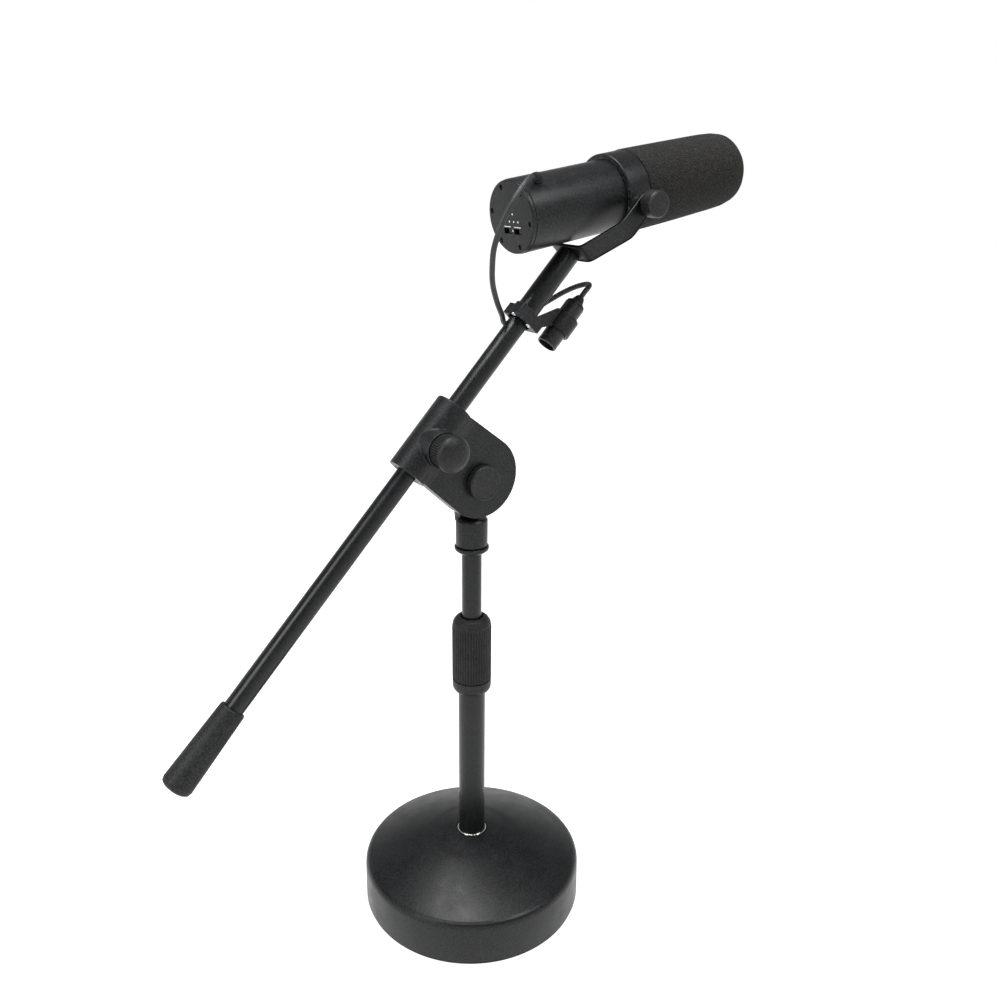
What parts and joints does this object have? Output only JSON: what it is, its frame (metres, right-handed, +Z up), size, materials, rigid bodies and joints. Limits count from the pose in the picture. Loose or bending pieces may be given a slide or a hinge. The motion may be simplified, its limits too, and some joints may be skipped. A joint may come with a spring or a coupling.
{
  "type": "desktop microphone stand",
  "caption": "Desktop microphone stand with a weighted round base, telescopic mast, tilting and sliding boom, and a yoke-mounted broadcast microphone with its lead.",
  "frame": {"origin": "centre of the underside of the base pad, on the surface the stand rests on", "axes": "+Z up along the mast, +X the way the microphone points with the boom in the XZ plane, +Y completes a right-handed set and points to the side of the clamping knob"},
  "size_m": [0.5206, 0.1884, 0.6426],
  "materials": {
    "powder_coat": "black powder coat, satin",
    "coated_alloy": "die-cast alloy with a black satin coat",
    "black_tube": "black painted steel tube, semi-gloss",
    "cast_iron": "bare casting",
    "zinc_steel": "bright zinc plate",
    "bright_ring": "polished",
    "black_steel": "black oxide",
    "bare_alloy": "plain turned alloy",
    "brass": "plain",
    "knob_plastic": "black moulded, fine matt grain",
    "nylon": "natural moulded",
    "rubber": "matt black",
    "foam": "open-cell foam, charcoal",
    "lead_jacket": "matt dark grey jacket"
  },
  "bodies": {
    "base": {"base_shell": "powder_coat", "base_weight": "cast_iron", "base_plate": "zinc_steel", "base_pad": "rubber", "base_bolt": "zinc_steel", "tube_plug": "zinc_steel", "foot_ring": "bright_ring", "lower_tube": "black_tube", "clutch_ferrule": "knob_plastic", "clutch_collet": "nylon"},
    "clutch": {"clutch_sleeve": "knob_plastic"},
    "glide": {"mast_glide": "nylon"},
    "mast": {"mast_tube": "black_tube", "mast_stud": "zinc_steel", "coupler": "powder_coat", "pivot_washer": "rubber", "back_washer": "zinc_steel"},
    "jam_ring": {"jam_ring": "powder_coat"},
    "block": {"pivot_block": "coated_alloy", "pivot_bolt": "zinc_steel", "pivot_cap": "knob_plastic"},
    "tilt_knob": {"tilt_knob": "knob_plastic", "tilt_nut": "brass"},
    "boom_lock": {"boom_lock_knob": "knob_plastic", "boom_lock_cap": "knob_plastic", "boom_lock_shoe": "nylon"},
    "liner": {"boom_liner": "knob_plastic"},
    "boom": {"boom_tube": "black_tube", "end_grip": "rubber", "boom_plug": "nylon", "boom_stud": "zinc_steel"},
    "yoke": {"mic_stem": "black_tube", "yoke_bracket": "powder_coat", "stem_screw": "black_steel", "cable_bracket": "powder_coat", "bracket_screw_1": "zinc_steel", "bracket_screw_2": "zinc_steel", "connector_barrel": "black_steel", "connector_insert": "knob_plastic", "connector_boot": "rubber", "lead": "lead_jacket"},
    "mic": {"mic_body": "coated_alloy", "rear_plate": "coated_alloy", "rear_screw_1": "black_steel", "rear_screw_2": "black_steel", "rear_screw_3": "black_steel", "rear_screw_4": "black_steel", "rear_screw_5": "black_steel", "rear_screw_6": "black_steel", "front_ring": "coated_alloy", "grille": "coated_alloy", "foam_windscreen": "foam", "capsule": "bare_alloy", "shock_mount": "rubber", "transformer": "cast_iron", "lead_elbow": "rubber"},
    "switch_left": {"switch_left": "knob_plastic"},
    "switch_right": {"switch_right": "knob_plastic"},
    "yoke_knob_front": {"yoke_knob_front": "knob_plastic"},
    "yoke_knob_back": {"yoke_knob_back": "knob_plastic"}
  },
  "joints": [
    {"name": "mast_slide", "type": "slide", "parent": "base", "child": "glide", "axis": [0, 0, 1], "range_m": [-0.05, 0.11]},
    {"name": "mast_turn", "type": "hinge", "parent": "glide", "child": "mast", "pos_m": [0, 0, 0], "axis": [0, 0, 1], "continuous": true},
    {"name": "clutch_turn", "type": "hinge", "parent": "base", "child": "clutch", "pos_m": [0, 0, 0], "axis": [0, 0, 1], "range_deg": [0, 120]},
    {"name": "jam_ring_turn", "type": "hinge", "parent": "mast", "child": "jam_ring", "pos_m": [0, 0, 0], "axis": [0, 0, 1], "range_deg": [0, 90]},
    {"name": "boom_tilt", "type": "hinge", "parent": "mast", "child": "block", "pos_m": [-0.00001, 0, 0.38986], "axis": [0, -1, 0], "range_deg": [-65, 40]},
    {"name": "tilt_knob_turn", "type": "hinge", "parent": "block", "child": "tilt_knob", "pos_m": [-0.00001, 0, 0.38986], "axis": [0, 1, 0], "range_deg": [0, 150]},
    {"name": "boom_lock_turn", "type": "hinge", "parent": "block", "child": "boom_lock", "pos_m": [-0.03886, 0, 0.42328], "axis": [0, 1, 0], "range_deg": [0, 180]},
    {"name": "boom_turn", "type": "hinge", "parent": "block", "child": "liner", "pos_m": [0, 0, 0.4622], "axis": [0.7065, 0, 0.7077], "continuous": true},
    {"name": "boom_slide", "type": "slide", "parent": "liner", "child": "boom", "axis": [0.7065, 0, 0.7077], "range_m": [-0.068, 0.19]},
    {"name": "mount_swivel", "type": "hinge", "parent": "boom", "child": "yoke", "pos_m": [0, 0, 0.4622], "axis": [0.7065, 0, 0.7077], "range_deg": [-170, 170]},
    {"name": "mic_tilt", "type": "hinge", "parent": "yoke", "child": "mic", "pos_m": [0.12985, 0, 0.59228], "axis": [0, -1, 0], "range_deg": [-40, 1], "deforming": ["lead"]},
    {"name": "yoke_knob_front_turn", "type": "hinge", "parent": "yoke", "child": "yoke_knob_front", "pos_m": [0.12985, 0, 0.59228], "axis": [0, 1, 0], "range_deg": [0, 180]},
    {"name": "yoke_knob_back_turn", "type": "hinge", "parent": "yoke", "child": "yoke_knob_back", "pos_m": [0.12985, 0, 0.59228], "axis": [0, 1, 0], "range_deg": [0, 180]},
    {"name": "switch_left_slide", "type": "slide", "parent": "mic", "child": "switch_left", "axis": [0, 1, 0], "range_m": [0, 0.0036]},
    {"name": "switch_right_slide", "type": "slide", "parent": "mic", "child": "switch_right", "axis": [0, 1, 0], "range_m": [0, 0.0036]}
  ]
}
